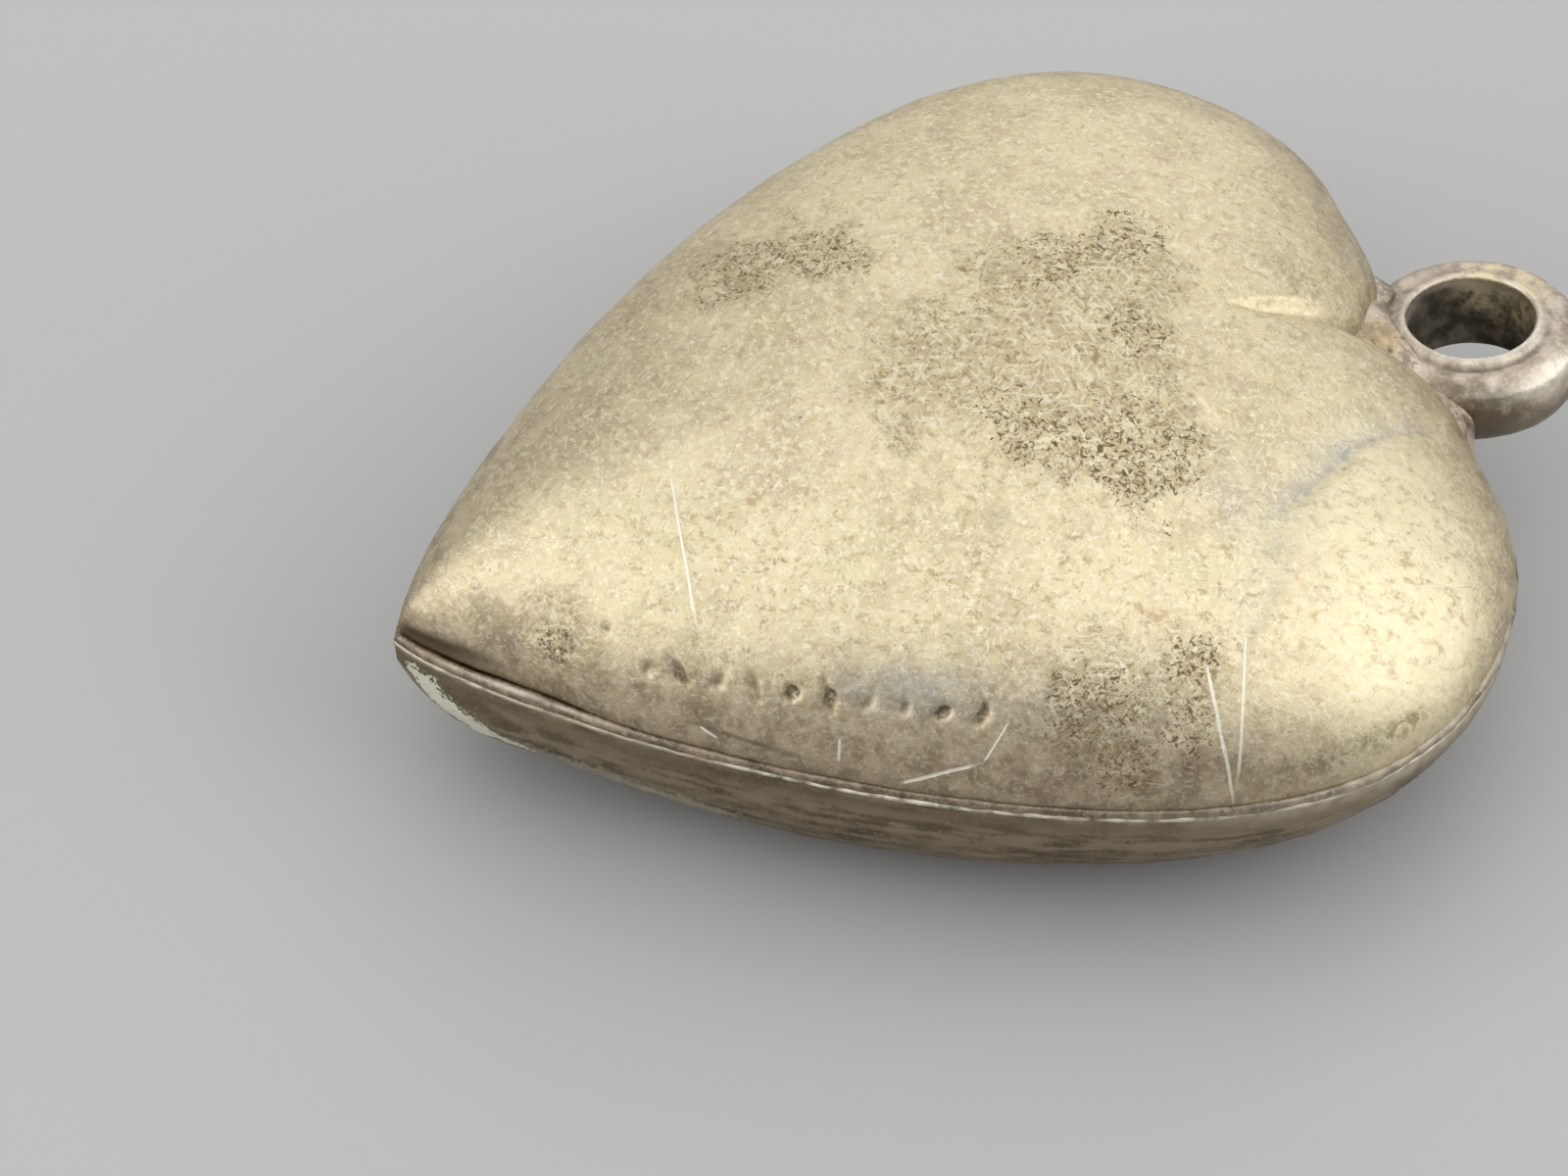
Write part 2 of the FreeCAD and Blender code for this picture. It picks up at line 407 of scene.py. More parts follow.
short_groove = to_segment(front, (3.30, -5.92, 3.46), (4.4, -4.44, 3.28))
push -= 0.03 * bell(short_groove, 0.05)
tip_groove = to_segment(front, (0.15, -9.1, 3.1), (1.3, -8.25, 3.25))
push -= 0.07 * bell(tip_groove, 0.17)
print("largest push", round(float(np.abs(push).max()), 3), "mm")

# %% [markdown]
# The row of struck marks along the flank is worn almost away on the real piece. It is made here as a row
# of plain ragged dots, each a little different in size, lean and depth, so that it reads as old punching
# without spelling anything.

# %% Front shell: a row of plain punch dots
def oval_dent(points, centre, across, up, half_across, half_up, ragged):
    """1 inside a flat-bottomed oval, falling to 0 at its edge."""
    away = points - centre
    size = (away @ across / half_across)**2 + (away @ up / half_up)**2
    near = np.linalg.norm(away, axis=-1) < 3 * half_up
    return np.where(near, np.exp(-(size * ragged)**2), 0)


dots = random.Random(4)
dot_count = 10
punched = np.zeros(front.shape[:2])
struck_area = to_segment(front, (2.5, -6.4, 4.2), (5.15, -2.2, 4.45)) < 0.8
ragged = np.ones(front.shape[:2])
ragged[struck_area] = 1 + 0.9 * unevenness(front[struck_area], 7.0, 4)
row_start, row_end = np.array((2.62, -6.3, 4.1)), np.array((5.2, -2.25, 4.35))
for place in range(dot_count):
    wanted = row_start + (row_end - row_start) * place / (dot_count - 1)
    row, spoke = np.unravel_index(np.argmin(from_point(front, wanted)), front.shape[:2])
    centre = front[row, spoke]
    across = front[row, spoke + 1] - front[row, spoke - 1]
    across /= np.linalg.norm(across)
    up = np.cross(front_normals[row, spoke], across)
    lean = dots.uniform(-0.7, 0.7)
    long_way = up * math.cos(lean) + across * math.sin(lean)
    short_way = across * math.cos(lean) - up * math.sin(lean)
    strength = dots.uniform(0.45, 1.0)
    half_short = dots.uniform(0.07, 0.12)
    half_long = dots.uniform(0.14, 0.23)
    dot = oval_dent(front, centre, short_way, long_way, half_short, half_long, ragged)
    edge = dot * (1 - dot) * 4
    push += 0.014 * strength * edge - 0.075 * strength * dot
    punched = np.maximum(punched, strength * dot)
print("punch dots:", dot_count)

# %% [markdown]
# Now the push is applied and the sheet gets its inside, which is a plainer dome one sheet's thickness
# in. A solidify modifier would copy every dent to the inside for nothing. What the finish needs to know
# about a point, such as dirt by the seam, goes along as a tone on the mesh.

# %% Front shell: make the piece
above_rim = front[:, :, 2] - front_base_z
push[-3:] *= np.array([0.6, 0.3, 0.0])[:, None]
front = front + front_normals * push[:, :, None]
inner_front = dome_rows(spokes, 6, front_inset + sheet, top_z - band_low - sheet, front_fullness)
inner_front += [0, 0, band_low]
inner_front = np.concatenate([inner_front, rim_rows(spokes, [front_inset + sheet], [front_base_z])])


def melted_over(angles):
    """Where solder flowed over the rim, beside the near lobe, and cleaned it."""
    return near_turn(angles, 38, 30)


rim_dirt = 0.6 * np.exp(-above_rim / 0.07) + 0.42 * np.exp(-above_rim / 0.5)
groove_dirt = 0.75 * bell(short_groove, 0.045) + 0.8 * bell(tip_groove, 0.2)
pressed_patch = bell(to_segment(front, (4.1, 4.5, 4.9), (5.7, 4.0, 4.2)), 1.35)
front_tones = {
    "soot": np.clip(rim_dirt * (1 - 0.6 * melted_over(fan)) + groove_dirt, 0, 1),
    "struck": np.clip(punched + 0.8 * dented, 0, 1),
    "rise": above_rim / (top_z - front_base_z),
    "pressed": np.clip(1.5 * pressed_patch, 0, 1) * beyond,
    "folded": np.clip(fold_shape * 1.2, 0, 1),
    "smeared": bell(to_segment(front, (6.94, 1.66, 3.44), (6.61, 3.87, 3.54)), 0.18),
}
crown_top = (0, crown_y, top_z)
crown_under = (0, crown_y, top_z - sheet)
front_piece = closed_shell("front_shell_silver", front, crown_top, inner_front, crown_under, front_tones)
print("front shell faces", len(front_piece.data.polygons))

# %% [markdown]
# ## The back shell
# It is the same kind of stamping, but fuller and flatter, so the charm lies still on it. Its rim stands
# slightly proud of the front, and years of rubbing have turned that edge into a bright, ragged line. A
# small lip on the mesh makes the line, with noise fine enough to break it up.

# %% Back shell: the plain dome
back_rows = 104
band_rows = 7
rim_rounding = 0.035
back = soften_tip_ridge(dome_rows(spokes, back_rows, 0.0, seam_z - rim_band, back_fullness))
back = back * [1, 1, -1] + [0, 0, seam_z - rim_band]
rise_up = np.linspace(0, 1, band_rows + 1)[1:]
back_band = rim_rows(spokes, rim_rounding * rise_up**6, seam_z - rim_band * (1 - rise_up))
back = np.concatenate([back, back_band])
back_normals = -row_normals(back)
below_seam = seam_z - back[:, :, 2]
print("back shell grid", back.shape)

# %% [markdown]
# The rim's lip wobbles, the tip is fuller than the formula makes it, and the bottom is left flat where
# the charm rests. All three are kept inside the design's box, so nothing here may push outwards except
# at the tip, where the dome starts well inside it.

# %% Back shell: uneven rim and full tip
back_push = 0.02 * unevenness(back, 0.5, 11) + 0.012 * unevenness(back, 1.6, 12) - 0.025
back_push += 0.005 * unevenness(back, 6.0, 13)
lip_wobble = 1 + 0.5 * unevenness(back, 3.0, 14) + 0.5 * unevenness(back, 9.0, 15)
back_push -= 0.022 * smooth_step(below_seam, 0.03, 0.14) * lip_wobble
back_push += 0.03 * melted_over(fan) * bell(below_seam - 0.2, 0.15)
back_push += 0.035 * bell(below_seam - 0.42, 0.12) * (0.6 + 0.6 * unevenness(back, 1.0, 17))
resting = smooth_step(below_seam, seam_z - 0.05, seam_z)
back_push = np.minimum(back_push * (1 - resting), 0)
full_tip = bell(from_point(back, (0.9, -8.5, 1.75)), 1.1)
back_push += 0.14 * full_tip * smooth_step(below_seam, 0.1, 0.9)
back_push[-band_rows:] *= np.linspace(1, 0, band_rows)[:, None]
print("largest push", round(float(np.abs(back_push).max()), 3), "mm")

# %% [markdown]
# The tip has a facet that rubs against everything and stays bright. The edge is worn in broken
# stretches, and the tarnish lies in bands. These are tones again, worked out from the plain shape
# where a distance is needed and from the finished one where noise should follow the surface.

# %% Back shell: make the piece
tip_facet = bell(to_segment(back, (0.48, -8.9, 2.3), (1.05, -8.25, 1.75)), 0.36)
tip_facet = np.maximum(tip_facet, 0.9 * bell(to_segment(back, (0.30, -9.05, 2.45), (1.6, -7.7, 1.4)), 0.22))
back = back + back_normals * back_push[:, :, None]
inner_back = dome_rows(spokes, 6, sheet, seam_z - sheet, back_fullness) * [1, 1, -1] + [0, 0, seam_z]

half_turns = (fan + math.pi) % (2 * math.pi) - math.pi
bright_stretch = 0.15 + 0.85 * near_turn(half_turns, -24, 36)
bright_stretch = np.maximum(bright_stretch, 0.6 * near_turn(half_turns, -84, 7))
broken = np.clip(0.62 + 1.1 * unevenness(back, 5.0, 16) + 0.5 * unevenness(back, 16.0, 18), 0, 1)
coarse_bands = 0.7 * unevenness(back * [0.5, 0.5, 3.0], 1.2, 19)
fine_bands = 0.8 * unevenness(back * [0.5, 0.5, 2.5], 3.6, 26)
back_tones = {
    "soot": 0.75 * smooth_step(below_seam, 0.05, 0.22) * (1 - smooth_step(below_seam, 0.5, 1.6)),
    "worn": np.clip(1.3 * np.exp(-(below_seam / 0.062)**4) * broken * bright_stretch[None, :], 0, 1),
    "banded": np.clip(0.5 + coarse_bands + fine_bands, 0, 1),
    "facet": tip_facet,
    "melted": np.clip(melted_over(fan) * bell(below_seam, 0.35) * (0.6 + 0.6 * broken), 0, 1),
    # A pale painted reflection lies along the lower edge beside the tip.
    "limb_reflection": bell(to_segment(back, (1.0, -8.3, 1.6), (3.4, -5.4, 1.1)), 0.5),
    "rise": 1 - below_seam / seam_z,
}
crown_bottom = (0, crown_y, 0)
crown_inside = (0, crown_y, sheet)
back_piece = closed_shell("back_shell_silver", back, crown_bottom, inner_back, crown_inside, back_tones)
print("back shell faces", len(back_piece.data.polygons))

# %% [markdown]
# ## The seam
# Between the rims runs a line of solder. It flowed and froze, so it is not an even wire: it swells,
# thins again. A bevelled curve would have one radius or need a second curve to vary it, so a tube is
# swept along the outline with noise in its radius. It is widest beside the tip, where the halves gape.

# %% Seam solder bead
bead_spokes = 900
bead_turns = np.linspace(0, 2 * math.pi, 12, endpoint=False)


def seam_bead(angles, radius, inset):
    """Rings of points along the outline, one for each turn round the bead."""
    ray = np.stack([np.cos(angles), np.sin(angles)], axis=1)
    middle = ray * (outline_reach(angles) - inset)[:, None] + [0, crown_y]
    middle = np.column_stack([middle, np.full(len(angles), (seam_z + front_base_z) / 2)])
    swell = 1 + 0.25 * unevenness(middle, 1.1, 21) + 0.18 * unevenness(middle, 4.0, 22)
    rings = []
    for turn in bead_turns:
        out = np.column_stack([ray * math.cos(turn), np.full(len(angles), math.sin(turn))])
        rings.append(middle + out * (radius * swell)[:, None])
    return np.array(rings)


bead_fan = fan_angles(bead_spokes)
wide_gap = near_turn(bead_fan, -77, 8)
bead_radius = 0.085 + 0.03 * wide_gap + 0.02 * melted_over(bead_fan)
bead = seam_bead(bead_fan, bead_radius, 0.105 + 0.06 * wide_gap)
bead[:, :, 2] = np.clip(bead[:, :, 2], seam_z - 0.06, top_z)
crest = near_turn(bead_turns, 60, 24)[:, None] * (0.1 + 0.45 * wide_gap)[None, :]
crest = np.maximum(crest, 0.3 * melted_over(bead_fan)[None, :])
bead_tones = {"worn": np.clip(crest * (0.8 + 0.8 * unevenness(bead, 3.0, 23)), 0, 1)}
seam_piece = ring_mesh("seam_solder_bead", bead, tones=bead_tones)
face_outwards(seam_piece)
print("seam bead faces", len(seam_piece.data.polygons))

# %% [markdown]
# ## The hanging ring
# A torus would be too round: the real ring has a straight hole, a heavy wall and softly squared edges.
# Its section is drawn once as a rounded block and turned about the hole's own axis, which leans a
# little. Then the lip is worn down where a chain has pulled, and the whole surface is made slightly
# lumpy, as hand-filed rings are.

# %% Ring section
def rounded_corner(centre, radius, start_degrees, steps):
    turns = np.radians(np.linspace(start_degrees, start_degrees + 90, steps))
    return [np.array([centre[0] + radius * math.cos(t), centre[1] + radius * math.sin(t)]) for t in turns]


def evenly(points, count):
    """A closed run of points, respaced to this many even steps."""
    points = np.array(points + [points[0]])
    steps = np.concatenate([[0], np.cumsum(np.linalg.norm(np.diff(points, axis=0), axis=1))])
    wanted = np.linspace(0, steps[-1], count, endpoint=False)
    return np.stack([np.interp(wanted, steps, points[:, way]) for way in (0, 1)], axis=1)


outer_corner = 0.35
lip_corner = 0.07
section = evenly(
    rounded_corner((ring_radius - outer_corner, ring_half_depth - outer_corner), outer_corner, 0, 12)
    + rounded_corner((hole_radius + lip_corner, ring_half_depth - lip_corner), lip_corner, 90, 7)
    + rounded_corner((hole_radius + lip_corner, lip_corner - ring_half_depth), lip_corner, 180, 7)
    + rounded_corner((ring_radius - outer_corner, outer_corner - ring_half_depth), outer_corner, 270, 12),
    120)
print("ring section points", len(section))

# %% [markdown]
# The section is turned into a ring, and wear changes it round the turn: the lip is pulled low at one
# place, where a chain hung, the wall there is rounder, and a thin crack runs beside the lip. A spin in
# edit mode would give the same section all round, so the section's two values are worked out as grids.

# %% Ring: worn shape
ring_turn = Vector((0, 0, 1)).rotation_difference(ring_axis).to_matrix()


def place_on_ring(rings):
    return rings @ np.array(ring_turn).T + np.array(ring_centre)


ring_spokes = 320
ring_fan = np.linspace(0, 2 * math.pi, ring_spokes, endpoint=False)


def near_ring_turn(degrees, spread):
    """1 at that turn of the ring, fading to 0 on both sides, across the start too."""
    return near_turn(np.angle(np.exp(1j * (ring_fan - math.radians(degrees)))), 0, spread)


far_out, height = section[:, 0][:, None], section[:, 1][:, None]
pulled = near_ring_turn(-5, 62)[None, :]
top_side = smooth_step(height, 0.2, 0.55)
raised_lip = bell(far_out - hole_radius - 0.03, 0.055) * top_side
sloping = smooth_step(far_out, hole_radius + 0.08, hole_radius + 0.32) * top_side
round_wall = 1.22 + 0.43 * np.sqrt(np.clip(1 - (height / 0.68)**2, 0, 1))
round_share = 0.75 * pulled * smooth_step(far_out, 1.2, 1.45)
squeeze = np.maximum(far_out - round_wall, 0) * round_share
height = height - 0.05 * sloping - 0.08 * sloping * pulled
lip = bell(far_out - hole_radius, 0.16) * top_side
far_out = far_out - squeeze
height = height - 0.06 * lip * pulled
crack = bell(far_out - hole_radius - 0.24, 0.03) * top_side * pulled
height = height - 0.05 * crack
around = np.stack([far_out * np.cos(ring_fan), far_out * np.sin(ring_fan), height], axis=2)
print("ring wall", round(ring_radius - hole_radius, 2), "mm")
print("worn by up to", round(float(squeeze.max()), 2), "mm")

# %% [markdown]
# Filing left the ring a little lumpy, and its inner wall is smoother. The tones say where soot lies in
# the hole, where the lower outer wall takes a painted shade, where the lip is rubbed bright, and where
# the side carries a painted highlight.

# %% Ring: make the piece
lumps = 0.018 * unevenness(around, 1.2, 31) + 0.009 * unevenness(around, 3.5, 32)
lumps += 0.003 * unevenness(around, 12.0, 33)
ring_normals = -row_normals(np.concatenate([around[-1:], around, around[:1]]))[1:-1]
inner_wall = smooth_step(-np.hypot(around[:, :, 0], around[:, :, 1]), -1.12, -1.02)
around = around + ring_normals * ((lumps - 0.014) * (1 - 0.7 * inner_wall))[:, :, None]
lip_wear = raised_lip * (0.3 + 0.6 * pulled + 0.9 * unevenness(around, 2.0, 34)) + 0.7 * lip * pulled
deep_inside = inner_wall * (1 - smooth_step(height, 0.42, 0.6))
outer_wall = smooth_step(np.hypot(around[:, :, 0], around[:, :, 1]), 1.3, 1.5)
ring_tones = {
    # Painted shade: the outer wall grows darker towards the bottom.
    "under": outer_wall * smooth_step(-height, -0.12, 0.35),
    # A painted highlight on the upper outer wall, on one side of the ring.
    "rubbed_and_highlight": outer_wall * bell(height - 0.28, 0.17) * near_ring_turn(43, 43),
    "soot": np.clip(deep_inside + 0.9 * crack, 0, 1),
    "worn": np.clip(lip_wear, 0, 1),
}
ring_piece = ring_mesh("hanging_ring_silver", place_on_ring(around), tones=ring_tones)
face_outwards(ring_piece)
print("ring faces", len(ring_piece.data.polygons))

# %% [markdown]
# ## The solder that holds the ring
# Molten solder pulls itself into every inside corner and leaves a smooth hollow slope. A ball pushed
# into the joint would meet the parts in sharp lines, so the slope is found in another way. The ring, the
# two lobes and some lumps of solder are melted into one skin, the skin is smoothed until the corners
# fill, and only the part near the joint is kept. Elsewhere the smoothed skin sinks below the silver.

# %% Throw-away solids
def loose_solid(rings, start, end):
    """A closed throw-away solid, in millimetres for the remesher."""
    piece = ring_mesh("melt", np.asarray(rings) / MM, np.array(start) / MM, np.array(end) / MM)
    face_outwards(piece)
    return piece


def disc_rings(radius, low, high, barrel=0.0, steps=64):
    """A stack of circles on the hole's axis. A barrel narrows towards both ends."""
    turns = np.linspace(0, 2 * math.pi, steps, endpoint=False)
    circle = np.stack([np.cos(turns), np.sin(turns), 0 * turns], axis=1)
    rings = []
    for share in np.linspace(0, 1, 16):
        narrow = radius - barrel * (2 * share - 1)**2
        rings.append(circle * narrow + [0, 0, low + share * (high - low)])
    return place_on_ring(np.array(rings))


def on_axis(height):
    return place_on_ring(np.array([0, 0, height]))


def ball_rings(centre, half_size, rows=24, steps=48):
    down = np.linspace(0, math.pi, rows + 2)[1:-1, None]
    turn = np.linspace(0, 2 * math.pi, steps, endpoint=False)[None, :]
    circle = [np.sin(down) * np.cos(turn), np.sin(down) * np.sin(turn), np.cos(down) + 0 * turn]
    return np.stack(circle, axis=2) * np.array(half_size) + np.array(centre)


def ball(centre, half_size):
    up = np.array([0, 0, half_size[2]])
    return loose_solid(ball_rings(centre, half_size), np.array(centre) + up, np.array(centre) - up)


balance = ball_rings((0, 0, 0), (1, 1, 1)).mean()
print("a ball's points balance to within", round(abs(float(balance)), 6), "of its middle")

# %% [markdown]
# The heart and the ring are made again here as plain solids, a little smaller than the silver. Four
# lumps of solder go with them: two in the cleft, under the ring, and one against each lobe. Meta balls
# would melt together by themselves, but they can't take the heart's own shape.

# %% Solids to melt together
def apply_modifier(piece, kind, **settings):
    """Adds a modifier and makes its result the piece's mesh."""
    modifier = piece.modifiers.new("step", kind)
    for key, value in settings.items():
        setattr(modifier, key, value)
    solid = piece.evaluated_get(bpy.context.evaluated_depsgraph_get())
    result = bpy.data.meshes.new_from_object(solid)
    piece.modifiers.clear()
    piece.data = result


sunk = 0.07                  # the melted skin stays this far under the silver
melt_front = dome_rows(240, 40, front_step + sunk, top_z - sunk - front_base_z, front_fullness)
melt_front += [0, 0, front_base_z]
melt_back = dome_rows(240, 40, sunk, seam_z - sunk, back_fullness) * [1, 1, -1] + [0, 0, seam_z]
body = np.concatenate([melt_front, melt_back[::-1]])
thin = ring_half_depth - sunk - 0.08
ring_disc = disc_rings(ring_radius - sunk, -thin, thin, 0.32)
# Each lump of solder: its middle and its half size.
solder_lumps = [
    ((0, 6.1, 3.05), (1.2, 0.75, 0.85)),
    ((0.05, 6.02, 3.28), (0.85, 0.66, 0.60)),
    ((1.2, 6.45, 2.7), (0.92, 0.62, 0.86)),
    ((-1.05, 6.45, 2.7), (0.9, 0.60, 0.80)),
]
parts_to_melt = [
    loose_solid(body, (0, crown_y, top_z - sunk), (0, crown_y, sunk)),
    loose_solid(ring_disc, on_axis(-thin), on_axis(thin)),
] + [ball(middle, half_size) for middle, half_size in solder_lumps]
print("solids to melt together:", len(parts_to_melt))

# %% [markdown]
# Union joins the solids, and the voxel remesh turns them into one even skin. Smoothing then acts like
# surface tension: inside corners fill and outside ones round off. Last, only what lies near the joint
# is kept, and the hole is cleared, because real solder doesn't run into it.

# %% Melt, smooth and trim
skin_grid = 0.05             # how fine the melted skin is
flare = parts_to_melt[0]
for other in parts_to_melt[1:]:
    apply_modifier(flare, "BOOLEAN", operation="UNION", solver="EXACT", object=other)
neighbourhood = ball((0, 6.5, 2.95), (3.3, 2.4, 2.6))
apply_modifier(flare, "BOOLEAN", operation="INTERSECT", solver="EXACT", object=neighbourhood)
apply_modifier(flare, "REMESH", mode="VOXEL", voxel_size=skin_grid)
apply_modifier(flare, "SMOOTH", factor=0.5, iterations=70)
print("melted skin:", len(flare.data.vertices), "points")

joint_region = ball((0, 6.5, 2.9), (2.25, 1.2, 1.45))
apply_modifier(flare, "BOOLEAN", operation="INTERSECT", solver="EXACT", object=joint_region)
clear_hole = loose_solid(disc_rings(hole_radius + 0.3, -3, 3), on_axis(-3), on_axis(3))
apply_modifier(flare, "BOOLEAN", operation="DIFFERENCE", solver="EXACT", object=clear_hole)
for helper in parts_to_melt[1:] + [neighbourhood, joint_region, clear_hole]:
    bpy.data.objects.remove(helper)

for corner in flare.data.vertices:
    lump = 0.016 * noise.noise(corner.co * 2.5) + 0.007 * noise.noise(corner.co * 7.0)
    corner.co = (corner.co + corner.normal * lump) * MM
flare.name = "ring_solder_flare"
flare.data.shade_smooth()
print("solder flare:", len(flare.data.polygons), "faces")

# %% [markdown]
# ## Finishes
# Tarnished silver is a metal, so its colour is the colour of its reflections. A plain grey metal looks
# new. What makes it old is that the colour wanders from cream to tan, that fine pits and hairlines break
# the shine, and that recesses are dark while edges are rubbed clean. Some layers are painted light and
# shade instead: blue-grey and darker painted shade on the flanks and lower sides, a paler painted band
# and a painted reflection on the back, and a painted highlight and a painted pool of light on the ring.
# Each finish below is a stack of such layers. They could be wired by hand in the shader editor, but as
# functions they read from top to bottom, and a finish can be tried again with one number changed.

# %% Nodes and links
def start_finish(name):
    """A new material, its node tree and its shader."""
    material = bpy.data.materials.new(name)
    material.use_nodes = True
    tree = material.node_tree
    return material, tree, tree.nodes["Principled BSDF"]


def put(tree, kind, **settings):
    """Adds a node of that kind."""
    node = tree.nodes.new(kind)
    for key, value in settings.items():
        setattr(node, key, value)
    return node


def is_socket(value):
    return isinstance(value, bpy.types.NodeSocket)


def tree_of(*values):
    """The node tree of the first socket among these values."""
    return next(value.id_data for value in values if is_socket(value))


def feed(socket, value):
    """Links an output to a socket, or sets the socket to a plain value."""
    if is_socket(value):
        socket.id_data.links.new(value, socket)
    else:
        socket.default_value = value


print("node helpers: start_finish, put, tree_of, feed")

# %% [markdown]
# A share says how much of something shows at a point, from 0 to 1. Shares are combined by math nodes,
# and a short word for each sum keeps a finish readable. Colours are then laid over each other like
# washes of paint, each with a share of its own.

# %% Shares and colours
def worked_out(operation, a, b, clamp=False):
    node = put(tree_of(a, b), "ShaderNodeMath", operation=operation, use_clamp=clamp)
    feed(node.inputs[0], a)
    feed(node.inputs[1], b)
    return node.outputs[0]


def times(first, *others):
    return functools.reduce(lambda a, b: worked_out("MULTIPLY", a, b), others, first)


def most(first, *others):
    return functools.reduce(lambda a, b: worked_out("MAXIMUM", a, b), others, first)


def plus(a, b, clamp=False):
    return worked_out("ADD", a, b, clamp)


def minus(a, b, clamp=False):
    return worked_out("SUBTRACT", a, b, clamp)


def between(value, low, high, out_low=0.0, out_high=1.0):
    """Turns low..high into out_low..out_high, smoothly and held at the ends."""
    node = put(tree_of(value), "ShaderNodeMapRange", interpolation_type="SMOOTHSTEP")
    for place, number in enumerate((value, low, high, out_low, out_high)):
        feed(node.inputs[place], number)
    return node.outputs[0]


def blend_colour(share, low, high):
    node = put(tree_of(share), "ShaderNodeMix", data_type="RGBA", clamp_factor=True)
    feed(node.inputs["Factor"], share)
    for socket, value in ((node.inputs[6], low), (node.inputs[7], high)):
        feed(socket, value if is_socket(value) else (*value, 1))
    return node.outputs[2]


def layered(colour, *layers):
    """Lays colours over the first one. Each layer is its share and its colour."""
    for share, over in layers:
        colour = blend_colour(share, colour, over)
    return colour


print("share helpers: times, most, plus, minus, between; colour helpers: blend_colour, layered")

# %% [markdown]
# All noise and all places are in the piece's own millimetres, so a grain is as fine as it would be on
# the real charm. Texture coordinates from an unwrap would stretch over the domes.

# %% Grain, tones and places
def millimetres(tree):
    """The point on the piece, in millimetres."""
    here = put(tree, "ShaderNodeTexCoord")
    node = put(tree, "ShaderNodeVectorMath", operation="SCALE")
    feed(node.inputs[0], here.outputs["Object"])
    node.inputs["Scale"].default_value = 1 / MM
    return node.outputs[0]


def grain(where, per_mm, detail=3.0, rough=0.55, stretch=None, turn=0.0, twist=0.0):
    """Noise with that many lumps per millimetre, stretched along one direction if asked."""
    tree = tree_of(where)
    if stretch:
        mapping = put(tree, "ShaderNodeMapping", vector_type="TEXTURE")
        mapping.inputs["Scale"].default_value = stretch
        mapping.inputs["Rotation"].default_value = (0.3 * turn, 0.2, turn)
        feed(mapping.inputs[0], where)
        where = mapping.outputs[0]
    node = put(tree, "ShaderNodeTexNoise")
    feed(node.inputs["Vector"], where)
    settings = {"Scale": per_mm, "Detail": detail, "Roughness": rough, "Distortion": twist}
    for setting, value in settings.items():
        node.inputs[setting].default_value = value
    return node.outputs["Fac"]


def tone(tree, name):
    """A tone that was stored on the mesh."""
    return put(tree, "ShaderNodeAttribute", attribute_name=name).outputs["Fac"]


def patch(where, centre, reach):
    """1 at a point and 0 beyond its reach, in millimetres."""
    node = put(tree_of(where), "ShaderNodeVectorMath", operation="DISTANCE")
    feed(node.inputs[0], where)
    node.inputs[1].default_value = centre
    return between(node.outputs["Value"], 0.0, reach, 1.0, 0.0)


def patches(where, spots):
    """The most of several patches. Each spot is a centre and a reach."""
    return most(*[patch(where, centre, reach) for centre, reach in spots])


print("place helpers: millimetres, grain, tone, patch, patches")

# %% [markdown]
# The last step is the same for every finish: a metal takes the layered colour, a roughness and small
# bumps. Each bump node passes its normal to the next, so several grains can roughen one surface.

# %% Put a silver finish together
def bumps(layers):
    """Stacked bumps: (height, depth in mm) pairs. Returns the last normal."""
    normal = None
    for height, depth in layers:
        node = put(tree_of(height), "ShaderNodeBump")
        node.inputs["Strength"].default_value = 1.0
        node.inputs["Distance"].default_value = depth * MM
        feed(node.inputs["Height"], height)
        if normal is not None:
            feed(node.inputs["Normal"], normal)
        normal = node.outputs[0]
    return normal


def make_silver(shader, colour, rough, layers):
    feed(shader.inputs["Base Color"], colour)
    feed(shader.inputs["Metallic"], 1.0)
    feed(shader.inputs["Roughness"], rough)
    feed(shader.inputs["Normal"], bumps(layers))


def wear(piece, material):
    """Gives a piece its finish and says how many nodes the finish took."""
    piece.data.materials.append(material)
    print(material.name, "has", len(material.node_tree.nodes), "nodes")


cream = (0.86, 0.735, 0.475)
tan = (0.66, 0.54, 0.345)
pinkish = (0.72, 0.575, 0.41)
# The colour of the painted shade on the front's near shoulder and in its fold.
blue_grey = (0.47, 0.47, 0.44)
soot_brown = (0.17, 0.12, 0.065)
# Clean silver for rubbed and scratched places, and also the colour of the painted highlight on the ring's
# side.
rubbed_and_highlight = (0.98, 0.94, 0.80)
print("silver, rubbed clean:", rubbed_and_highlight, "and under soot:", soot_brown)

# %% [markdown]
# ## Scratches
# Something hard was dragged across the soft metal, which left thin bright lines. They are finer than the
# faces of the mesh, so they aren't cut into it. The finish measures how far each point lies to the side
# of a line and along it instead, and a little noise keeps the line from being ruler straight.

# %% Scratches
def along_direction(where, start, direction):
    """How far each point lies from the start, measured in one direction."""
    away = put(tree_of(where), "ShaderNodeVectorMath", operation="SUBTRACT")
    feed(away.inputs[0], where)
    away.inputs[1].default_value = start
    dot = put(tree_of(where), "ShaderNodeVectorMath", operation="DOT_PRODUCT")
    feed(dot.inputs[0], away.outputs[0])
    dot.inputs[1].default_value = direction
    return dot.outputs["Value"]


def scratch(where, a, b, width):
    """1 along a scratch from a to b, cut by a point that moved in one flat plane."""
    a, b = Vector(a), Vector(b)
    length = (b - a).length
    forward = (b - a).normalized()
    outward = Vector((0.6, -0.23, 0.77))
    wobble = times(minus(grain(where, 1.2, 1.0), 0.5), 0.05)
    sideways = along_direction(where, a, forward.cross(outward).normalized())
    off = worked_out("ABSOLUTE", plus(sideways, wobble), 0.0)
    gone = along_direction(where, a, forward)
    inside = times(between(gone, 0.0, 0.08 * length), between(gone, 0.75 * length, length, 1.0, 0.0))
    return times(between(off, 0.4 * width, width, 1.0, 0.0), inside)


